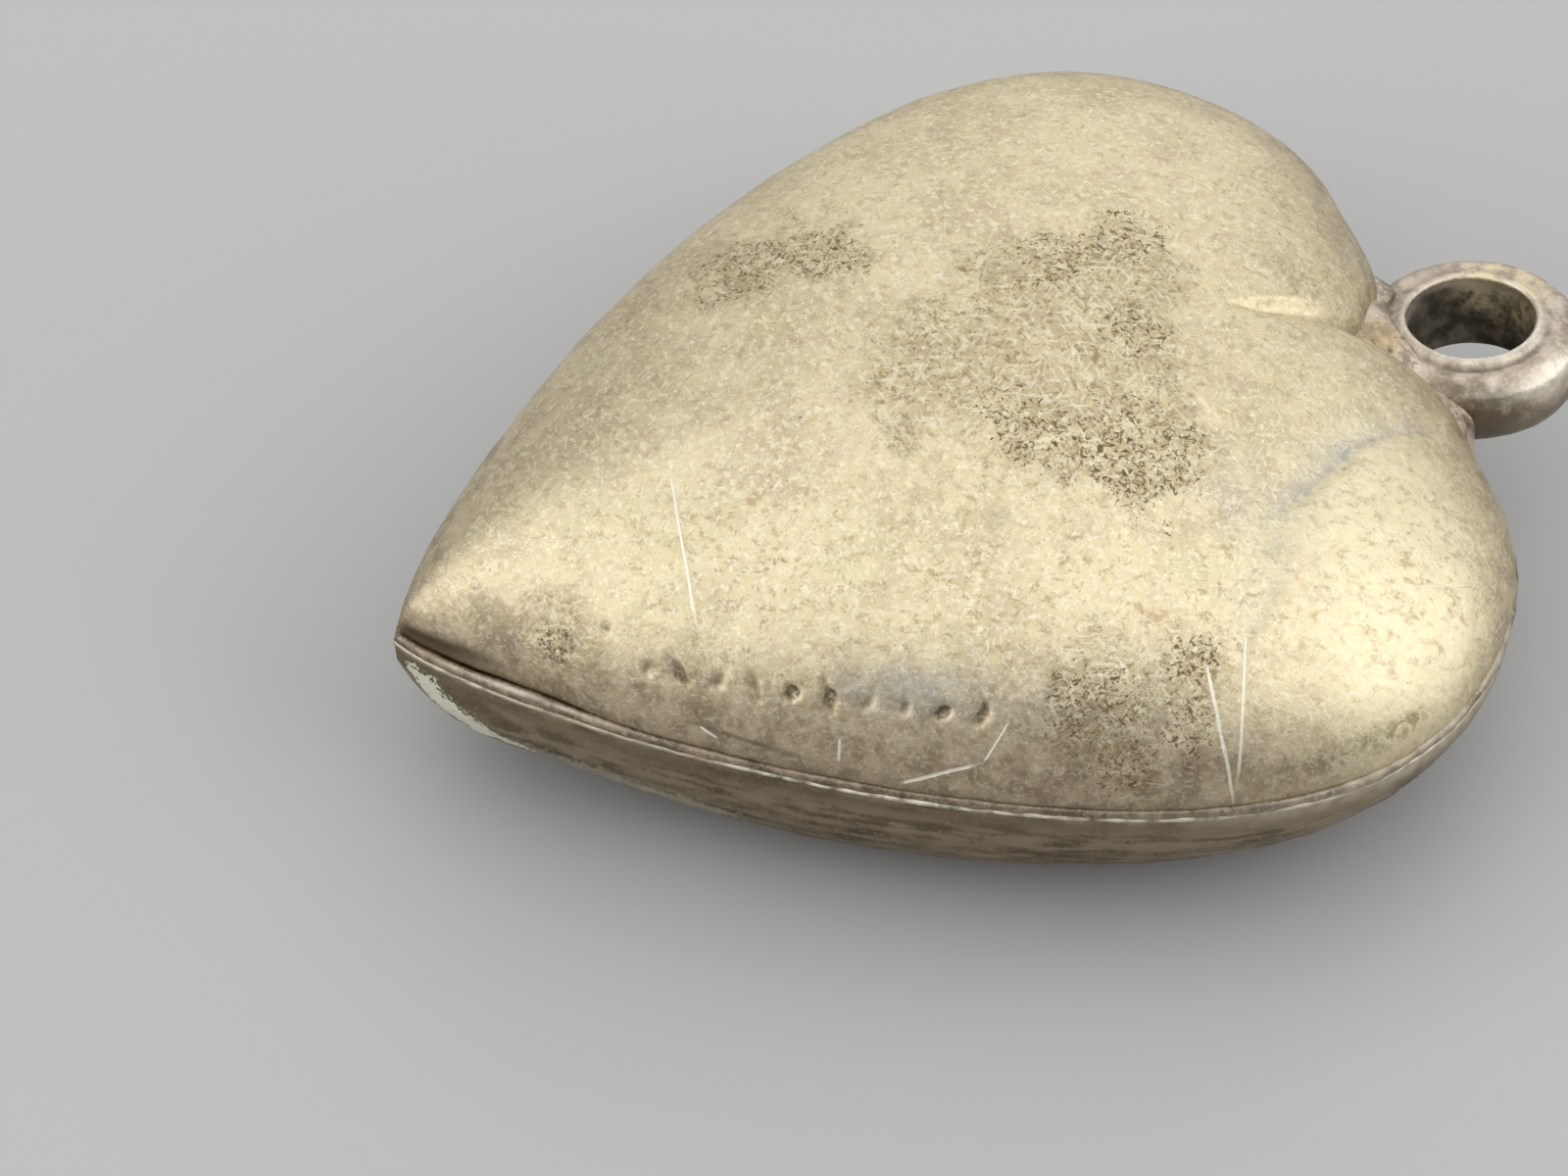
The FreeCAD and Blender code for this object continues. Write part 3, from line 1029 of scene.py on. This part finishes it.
# Each scratch: where it starts, where it ends and how wide it is.
scratch_lines = [
    ((0.46, -5.19, 5.48), (2.7, -5.55, 4.6), 0.030),
    ((5.51, 0.99, 4.78), (6.97, 1.01, 2.92), 0.032),
    ((5.34, 1.68, 4.86), (6.89, 1.02, 3.28), 0.028),
    ((5.08, -3.4, 3.2), (5.53, -2.3, 3.75), 0.034),
    ((5.53, -2.3, 3.75), (5.33, -1.84, 4.33), 0.024),
    ((4.49, -4.07, 3.8), (4.6, -4.11, 3.35), 0.030),
    ((3.41, -5.77, 3.5), (3.62, -5.55, 3.35), 0.024),
]
print("scratches:", len(scratch_lines))

# %% [markdown]
# Pits are clusters of short dark dashes. They come from fine noise squeezed in three directions, so the
# dashes lie every way, and a slower noise lets them gather and thin out as real corrosion does. Long
# thin strokes are made in the same way, from noise that is squeezed harder.

# %% Pits and hairlines
def strokes(where, turns, low, high, *noise_settings, twist):
    """Strokes that lie in several directions."""
    return most(*[between(grain(where, *noise_settings, turn, twist), low, high) for turn in turns])


def dashes(where, per_mm, low, high):
    """Short dark dashes that lie in three directions."""
    return strokes(where, (0.4, 1.5, 2.6), low, high, per_mm, 3.0, 0.65, (1.5, 0.8, 1.0), twist=0.7)


def hairlines(where, per_mm, low, high):
    """Long thin light strokes in three directions."""
    return strokes(where, (0.2, 1.3, 2.4), low, high, per_mm, 2.0, 0.5, (2.2, 0.55, 1.0), twist=0.3)


print("stroke helpers: dashes, hairlines")

# %% [markdown]
# ## The front shell's finish
# Under all its marks the front is mottled. Slow noise wanders from tan to cream with olive and pinkish
# clouds, quicker noise adds dull flecks, and the finest adds a bright grain. One noise alone would look
# like marble, and the real metal is speckled at every size.

# %% Front finish: mottled ground
near_shoulder = [
    ((2.6, -4.5, 5.0), 3.0), ((4.2, -1.5, 5.2), 3.2), ((4.9, 1.3, 5.0), 2.6), ((5.2, 4.4, 4.4), 2.4),
]
fleck_shape = (5.0, 4.0, 0.75, (1.25, 0.9, 1.0), 1.1, 0.6)
other_fleck_shape = (5.5, 4.0, 0.75, (1.25, 0.9, 1.0), 2.6, 0.6)


def mottled_ground(where, middling, fine, flecks):
    wide = grain(where, 0.5, 2.0)
    olive = between(grain(where, 0.8, 2.0), 0.48, 0.70, 0.0, 0.6)
    dull = most(between(flecks, 0.47, 0.34), between(grain(where, *other_fleck_shape), 0.46, 0.33))
    dull = times(dull, between(patches(where, near_shoulder), 0.0, 1.0, 0.5, 0.85))
    return layered(
        tan,
        (between(wide, 0.34, 0.66, 0.1, 1.0), cream),
        (olive, (0.72, 0.65, 0.39)),
        (between(middling, 0.42, 0.62, 0.0, 0.85), cream),
        (between(middling, 0.47, 0.32, 0.0, 0.6), pinkish),
        (dull, (0.49, 0.35, 0.18)),
        (between(fine, 0.50, 0.64, 0.0, 0.85), (1.0, 0.91, 0.68)),
    )


print("spots along the near shoulder:", len(near_shoulder))

# %% [markdown]
# Where the near side turns down to its flank, and in the fold, a blue-grey painted shade lies on the
# silver. The pressed patch is paler, and the flank is painted darker as painted shade, which is lifted
# on the lit lower lobe. The share of the flank is used again for its stains, so it is handed back with
# the colour.

# %% Front finish: blue-grey painted shade, pressed patch and darker painted shade on the flank
def shade_by_height(tree, where, colour, middling, flecks):
    """Returns the colour with these three layers, and the share of the flank."""
    rise = tone(tree, "rise")
    pressed = tone(tree, "pressed")
    # Blue-grey painted shade along the lower edge of the near shoulder and in the fold.
    lower_edge = times(between(rise, 0.34, 0.46), between(rise, 0.50, 0.66, 1.0, 0.0))
    near_side = patches(where, [((5.6, -0.6, 4.6), 2.3), ((4.3, -2.9, 4.7), 1.8)])
    beside_fold = times(patch(where, (3.6, 2.6, 5.3), 1.4), 0.5)
    cool = most(times(lower_edge, near_side), times(tone(tree, "folded"), 0.9), beside_fold)
    cool = times(cool, between(middling, 0.35, 0.65, 1.0, 0.45))
    # Painted shade darkens the flank. It is lifted on the lit lower lobe and on the pressed patch.
    lit_lobe = times(patch(where, (6.3, 3.9, 3.8), 3.6), 1.1)
    flank = times(between(rise, 0.22, 0.58, 1.0, 0.0), minus(1.0, pressed, clamp=True))
    flank = times(flank, minus(1.0, lit_lobe, clamp=True))
    darker = blend_colour(between(middling, 0.38, 0.62), (0.28, 0.21, 0.13), (0.64, 0.52, 0.36))
    colour = layered(
        colour,
        (times(cool, 0.85), blue_grey),
        (times(pressed, between(flecks, 0.38, 0.56, 0.2, 0.95)), (0.93, 0.83, 0.56)),
        (times(flank, 0.72), darker),
    )
    return colour, flank


print("height layers: cool edge, pressed patch, darker flank")

# %% [markdown]
# Corrosion sits in a few ragged areas of the crown and flank. Each area is a handful of round patches
# that melt together, with loose noise to tear their outline. Inside them the silver is stained brown and
# crossed by dark and pale strokes, and the pits gather there.

# %% Front finish: stains and pits
stained_spots = [
    ((0.4, -1.0, 6.1), 2.4), ((-0.7, 0.9, 6.0), 2.3), ((-0.6, 2.2, 5.85), 1.9), ((1.5, 0.3, 6.0), 2.4),
    ((0.6, 1.5, 5.95), 2.3), ((2.3, 1.3, 5.8), 1.8), ((5.6, -0.6, 4.4), 1.9), ((5.7, 0.7, 4.6), 1.2),
    ((-2.9, -2.9, 5.5), 1.6), ((-2.6, -1.7, 5.7), 1.3), ((1.7, -7.3, 4.0), 1.2),
]
pitted_spots = [
    ((2.5, 1.0, 5.8), 2.1), ((1.7, -0.2, 6.0), 1.5), ((-1.2, 1.3, 5.95), 1.6), ((-1.5, 2.6, 5.7), 1.3),
    ((0.4, 2.0, 5.85), 1.2), ((-2.9, -2.9, 5.5), 1.7), ((-2.6, -1.7, 5.7), 1.4), ((5.6, -0.8, 4.4), 1.5),
    ((6.1, -0.4, 3.95), 1.4), ((5.5, 0.8, 4.75), 0.9), ((6.2, 0.4, 4.1), 1.2), ((1.7, -7.3, 4.0), 0.8),
]


def stains_and_pits(tree, where, colour, middling, flecks, flank):
    """Returns the colour with its stains and pits, and the share of the pits."""
    loose = times(minus(grain(where, 1.6, 5.0, 0.75), 0.5), 2.0)
    stained = between(plus(patches(where, stained_spots), loose), 0.18, 0.7)
    pitted = between(plus(patches(where, pitted_spots), loose), 0.15, 0.8)
    dark_strokes = dashes(where, 8.0, 0.56, 0.66)
    pale_strokes = times(hairlines(where, 7.0, 0.58, 0.68), stained)
    olive_brown = blend_colour(between(middling, 0.40, 0.60), (0.50, 0.40, 0.23), (0.63, 0.53, 0.32))
    low_stain = times(pitted, flank, between(middling, 0.56, 0.42))
    smear = times(tone(tree, "smeared"), between(flecks, 0.60, 0.42, 0.15, 1.0))
    limit = minus(0.74, times(pitted, 0.155))
    pits = dashes(where, 11.0, limit, plus(limit, 0.06))
    colour = layered(
        colour,
        (times(stained, 0.62), olive_brown),
        (times(stained, dark_strokes, 0.75), (0.34, 0.23, 0.11)),
        (times(pale_strokes, 0.6), (0.93, 0.85, 0.64)),
        (times(low_stain, 0.6), (0.34, 0.24, 0.15)),
        (times(smear, 0.85), (0.27, 0.22, 0.10)),
        (times(pits, 0.85), (0.22, 0.135, 0.06)),
    )
    return colour, pits


print("stained spots:", len(stained_spots), "and pitted spots:", len(pitted_spots))

# %% [markdown]
# The last marks lie on top of the rest: fine hairlines, dirt in the struck dots and dents, soot beside
# the seam, and the scratches, which are newest and so cut through everything. Pits are rougher than the
# metal round them, and both pits and scratches are sunk by a bump.

# %% Front finish
def front_finish():
    material, tree, shader = start_finish("front_silver_tarnish")
    where = millimetres(tree)
    middling = grain(where, 2.2, 6.0, 0.72)
    fine = grain(where, 9.0, 5.0, 0.8, twist=0.4)
    flecks = grain(where, *fleck_shape)
    colour = mottled_ground(where, middling, fine, flecks)
    colour, flank = shade_by_height(tree, where, colour, middling, flecks)
    colour, pits = stains_and_pits(tree, where, colour, middling, flecks, flank)
    hollow = times(between(tone(tree, "struck"), 0.25, 0.7), between(fine, 0.35, 0.6, 0.25, 1.0))
    lines = most(*[scratch(where, a, b, width) for a, b, width in scratch_lines])
    colour = layered(
        colour,
        (times(hairlines(where, 10.0, 0.60, 0.68), 0.35), rubbed_and_highlight),
        (times(hollow, 0.9), (0.13, 0.09, 0.045)),
        (tone(tree, "soot"), (0.15, 0.115, 0.075)),
        (lines, rubbed_and_highlight),
    )
    rough = plus(between(fine, 0.3, 0.7, 0.42, 0.54), times(pits, 0.3), clamp=True)
    sunk_marks = [(minus(1.0, pits), 0.010), (minus(1.0, lines), 0.012)]
    make_silver(shader, colour, rough, [(middling, 0.012), (fine, 0.010), (flecks, 0.003)] + sunk_marks)
    return material


wear(front_piece, front_finish())

# %% [markdown]
# ## The back shell's finish
# The back is browner and duller than the front: partly tarnish in faint level bands, and partly painted
# shade, which deepens towards the bottom. A paler band below the seam is painted light.
# The bands alone would look painted on, so they are mixed with two grains. The facet by the tip is
# rubbed down to clean silver, with a dark and greenish fringe where the tarnish ends.

# %% Back finish
def tarnished_ground(tree, where, middling, fine):
    banded = plus(times(middling, 0.4), times(tone(tree, "banded"), 0.25))
    streaked = plus(banded, times(fine, 0.35))
    rise = tone(tree, "rise")
    # A paler band below the seam: painted light.
    lit_side_band = times(between(rise, 0.60, 0.76), between(rise, 0.80, 0.92, 1.0, 0.0))
    lit_side_band = times(lit_side_band, between(streaked, 0.40, 0.58, 0.0, 0.30))
    return layered(
        (0.08, 0.055, 0.03),
        (between(streaked, 0.30, 0.70), (0.50, 0.39, 0.255)),
        (between(grain(where, 0.6, 2.0), 0.45, 0.75, 0.0, 0.6), (0.42, 0.37, 0.28)),
        (between(fine, 0.52, 0.68, 0.0, 0.5), tan),
        (tone(tree, "soot"), (0.20, 0.15, 0.10)),
        # Painted shade: darker towards the bottom.
        (between(rise, 0.75, 0.25, 0.0, 0.6), (0.13, 0.10, 0.07)),
        (lit_side_band, (0.60, 0.50, 0.36)),
    )


def back_finish():
    material, tree, shader = start_finish("back_silver_tarnish")
    where = millimetres(tree)
    middling = grain(where, 2.2, 6.0, 0.7)
    fine = grain(where, 13.0, 4.0, 0.75)
    torn = plus(times(minus(fine, 0.5), 1.9), times(minus(middling, 0.5), 1.0))
    near_facet = plus(tone(tree, "facet"), torn)
    near_limb = plus(tone(tree, "limb_reflection"), torn)
    facet = between(near_facet, 0.66, 0.74)
    colour = layered(
        tarnished_ground(tree, where, middling, fine),
        # Pale painted reflection along the lower edge beside the tip.
        (between(near_limb, 0.5, 1.0, 0.0, 0.5), (0.66, 0.65, 0.50)),
        (times(between(near_facet, 0.42, 0.60), 0.85), (0.12, 0.12, 0.055)),
        (between(near_facet, 0.60, 0.68, 0.0, 0.9), (0.52, 0.56, 0.28)),
        (facet, rubbed_and_highlight),
        (times(tone(tree, "melted"), 0.75), (0.80, 0.71, 0.54)),
        (tone(tree, "worn"), rubbed_and_highlight),
    )
    rough = minus(between(fine, 0.3, 0.7, 0.42, 0.56), times(facet, 0.12))
    make_silver(shader, colour, rough, [(middling, 0.014), (fine, 0.010)])
    return material


wear(back_piece, back_finish())

# %% [markdown]
# ## The ring's finish
# The ring is a pinker grey than the heart, as a different alloy would be, and the solder that runs onto
# it takes the same colour, so the two share one ground. Soot fills the hole, except on part of the inner
# wall, where a pool of light is painted in ochre. The lower outer wall is painted darker as shade, the
# lip is rubbed bright, and the side carries a painted highlight.

# %% Ring finish
def ring_ground(where, middling, fine):
    """Pinkish grey silver, shared by the ring and by the solder that runs onto it."""
    return layered(
        (0.42, 0.34, 0.26),
        (between(middling, 0.36, 0.64), (0.72, 0.62, 0.50)),
        (between(grain(where, 1.0, 2.0), 0.45, 0.75, 0.0, 0.6), (0.60, 0.48, 0.39)),
        (between(fine, 0.50, 0.66, 0.0, 0.5), (0.82, 0.73, 0.60)),
    )


def ring_finish():
    material, tree, shader = start_finish("ring_silver_tarnish")
    where = millimetres(tree)
    middling = grain(where, 3.2, 3.0, 0.6)
    fine = grain(where, 14.0, 4.0, 0.75)
    # A painted pool of light inside the hole: it clears the soot there and paints the wall ochre.
    lit_inside_patch = patch(where, (-0.6, 8.3, 3.5), 1.2)
    dirt = times(tone(tree, "soot"), between(middling, 0.3, 0.7, 1.0, 0.75))
    dirt = minus(dirt, times(lit_inside_patch, between(fine, 0.4, 0.6)), clamp=True)
    lit_inside_share = times(between(lit_inside_patch, 0.15, 0.6), between(middling, 0.36, 0.56, 0.2, 1.0))
    waist = times(patch(where, (1.4, 7.0, 2.7), 1.7), between(middling, 0.34, 0.6, 1.0, 0.6))
    # The lip's wear, together with the painted highlight on the ring's side.
    worn = most(tone(tree, "worn"), times(tone(tree, "rubbed_and_highlight"), 0.9))
    colour = layered(
        ring_ground(where, middling, fine),
        (dirt, (0.075, 0.065, 0.04)),
        (times(lit_inside_share, 0.8), (0.90, 0.76, 0.50)),
        (between(waist, 0.08, 0.55, 0.0, 0.85), (0.17, 0.13, 0.085)),
        # Painted shade on the lower outer wall.
        (times(tone(tree, "under"), 0.75), (0.20, 0.16, 0.12)),
        (times(worn, between(fine, 0.3, 0.55, 0.5, 1.0)), rubbed_and_highlight),
    )
    rough = plus(between(fine, 0.3, 0.7, 0.34, 0.46), times(dirt, 0.3), clamp=True)
    make_silver(shader, colour, rough, [(middling, 0.016), (fine, 0.010)])
    return material


wear(ring_piece, ring_finish())

# %% [markdown]
# ## The finishes of the solder
# Solder tarnishes unevenly. Where it flared up to the ring it turned coppery in one spot and is streaked
# along the way that it ran. The bead in the seam is dark, because dirt stays there, with worn crests.

# %% Solder finishes
def flare_finish():
    material, tree, shader = start_finish("ring_solder_silver")
    where = millimetres(tree)
    middling = grain(where, 3.2, 3.0, 0.6)
    fine = grain(where, 14.0, 4.0, 0.75)
    streaks = grain(where, 4.0, 3.0, 0.6, (0.6, 0.6, 2.2), 0.3)
    copper = plus(patch(where, (0.05, 6.05, 3.85), 0.75), minus(middling, 0.5))
    coppery = blend_colour(fine, (0.52, 0.38, 0.21), (0.80, 0.62, 0.38))
    colour = layered(
        ring_ground(where, middling, fine),
        (between(copper, 0.3, 0.85, 0.0, 0.8), coppery),
        (between(fine, 0.36, 0.28, 0.0, 0.6), soot_brown),
        (between(middling, 0.55, 0.40, 0.0, 0.55), (0.30, 0.24, 0.17)),
        (between(streaks, 0.58, 0.70, 0.0, 0.5), rubbed_and_highlight),
        (between(streaks, 0.42, 0.30, 0.0, 0.7), soot_brown),
    )
    make_silver(shader, colour, between(fine, 0.3, 0.7, 0.34, 0.5), [(middling, 0.016), (fine, 0.010)])
    return material


def bead_finish():
    material, tree, shader = start_finish("seam_solder_dull")
    where = millimetres(tree)
    middling = grain(where, 3.0, 3.0, 0.6)
    fine = grain(where, 14.0, 4.0, 0.75)
    colour = layered(
        (0.17, 0.13, 0.085),
        (between(middling, 0.35, 0.65), (0.36, 0.285, 0.20)),
        (between(fine, 0.5, 0.66, 0.0, 0.7), (0.60, 0.50, 0.37)),
        (tone(tree, "worn"), rubbed_and_highlight),
    )
    make_silver(shader, colour, between(fine, 0.3, 0.7, 0.42, 0.6), [(middling, 0.014), (fine, 0.010)])
    return material


wear(seam_piece, bead_finish())
wear(flare, flare_finish())

# %% [markdown]
# ## Fasten the pieces
# The charm doesn't move: everything is soldered, so each piece rides on the one body. Each also stands
# for the plain solid of the design that it covers.

# %% Fasten each piece to the frame
for piece, node, slot in (
    (front_piece, "front_shell", "front_silver"),
    (back_piece, "back_shell", "back_silver"),
    (seam_piece, "seam_solder", "seam_solder"),
    (ring_piece, "hanging_ring", "ring_silver"),
    (flare, "ring_solder", "ring_solder"),
):
    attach(piece, "root")
    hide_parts(node)
    print(piece.name, "stands for", node)


# %% [markdown]
# ## Floor
# The charm lies on a plain pale surface, wide enough to fill the picture from above. It is a stage, not
# a part of the charm.

# %% Floor
reach = 1.5
corners = [(-reach, -reach, 0), (reach, -reach, 0), (reach, reach, 0), (-reach, reach, 0)]
floor_mesh = bpy.data.meshes.new("floor")
floor_mesh.from_pydata(corners, [], [(0, 1, 2, 3)])
floor = bpy.data.objects.new("floor", floor_mesh)
bpy.context.scene.collection.objects.link(floor)
floor_material, _, floor_shader = start_finish("pale_floor")
feed(floor_shader.inputs["Base Color"], (0.50, 0.50, 0.49, 1))
feed(floor_shader.inputs["Roughness"], 0.5)
floor_mesh.materials.append(floor_material)
print("floor:", 2 * reach, "m square")

# %% [markdown]
# ## Light
# Metal shows what surrounds it, so small hard lamps would make it look black with a few glints. Four
# broad soft lamps do the work: one overhead for the crown, one on each side so that the shoulders and
# the lobe catch light, and a weaker one on the far side. A dim sky fills what they leave.

# %% Lights
def soft_light(name, place, width, height, watts):
    """A soft rectangular lamp that faces the charm. Places and sizes are in metres."""
    data = bpy.data.lights.new(name, "AREA")
    data.shape = "RECTANGLE"
    data.size = width
    data.size_y = height
    data.energy = watts
    lamp = bpy.data.objects.new(name, data)
    lamp.location = place
    lamp.rotation_euler = (-Vector(place)).to_track_quat("-Z", "Y").to_euler()
    bpy.context.scene.collection.objects.link(lamp)


soft_light("overhead", (0, 0, 0.5), 0.9, 0.9, 2.1)
soft_light("left side", (-0.05, -0.6, 0.24), 0.8, 0.45, 1.9)
soft_light("right side", (0.25, 0.54, 0.32), 0.8, 0.65, 1.95)
soft_light("far side", (-0.58, 0.31, 0.25), 0.75, 0.5, 0.85)
world = bpy.data.worlds.new("studio")
world.use_nodes = True
sky = world.node_tree.nodes["Background"]
feed(sky.inputs["Color"], (0.94, 0.97, 1.0, 1))
feed(sky.inputs["Strength"], 0.30)
bpy.context.scene.world = world
bpy.context.scene.view_settings.view_transform = "Standard"
print("lamps:", len(bpy.data.lights))

# %% [markdown]
# ## Camera
# A long lens from a hand's width away keeps the far lobe nearly as large as the near one. The camera is
# placed by what it looks at, how far off it is, and three angles: round, up, and a slight roll.

# %% Camera
look_at = Vector((0.065, -3.27, 1.76)) * MM
distance = 108.8 * MM
long_lens = 170.325          # mm, for a picture 36 mm wide
azimuth, elevation, roll = (math.radians(a) for a in (69.1, 50.4, 1.34))
level = Vector((math.cos(azimuth), math.sin(azimuth), 0))
outwards = Vector((math.sin(azimuth), -math.cos(azimuth), 0))
backward = outwards * math.cos(elevation) + Vector((0, 0, math.sin(elevation)))
upward = backward.cross(level)
right = level * math.cos(roll) + upward * math.sin(roll)
up = upward * math.cos(roll) - level * math.sin(roll)
camera_data = bpy.data.cameras.new("camera")
camera_data.sensor_width = 36
camera_data.lens = long_lens
camera_data.clip_start = 0.001
camera_data.clip_end = 10
camera = bpy.data.objects.new("camera", camera_data)
facing = Matrix((right, up, backward)).transposed().to_4x4()
camera.matrix_world = Matrix.Translation(look_at + backward * distance) @ facing
bpy.context.scene.collection.objects.link(camera)
bpy.context.scene.camera = camera
print("camera", round(distance / MM, 1), "mm away with a", round(camera_data.lens), "mm lens")
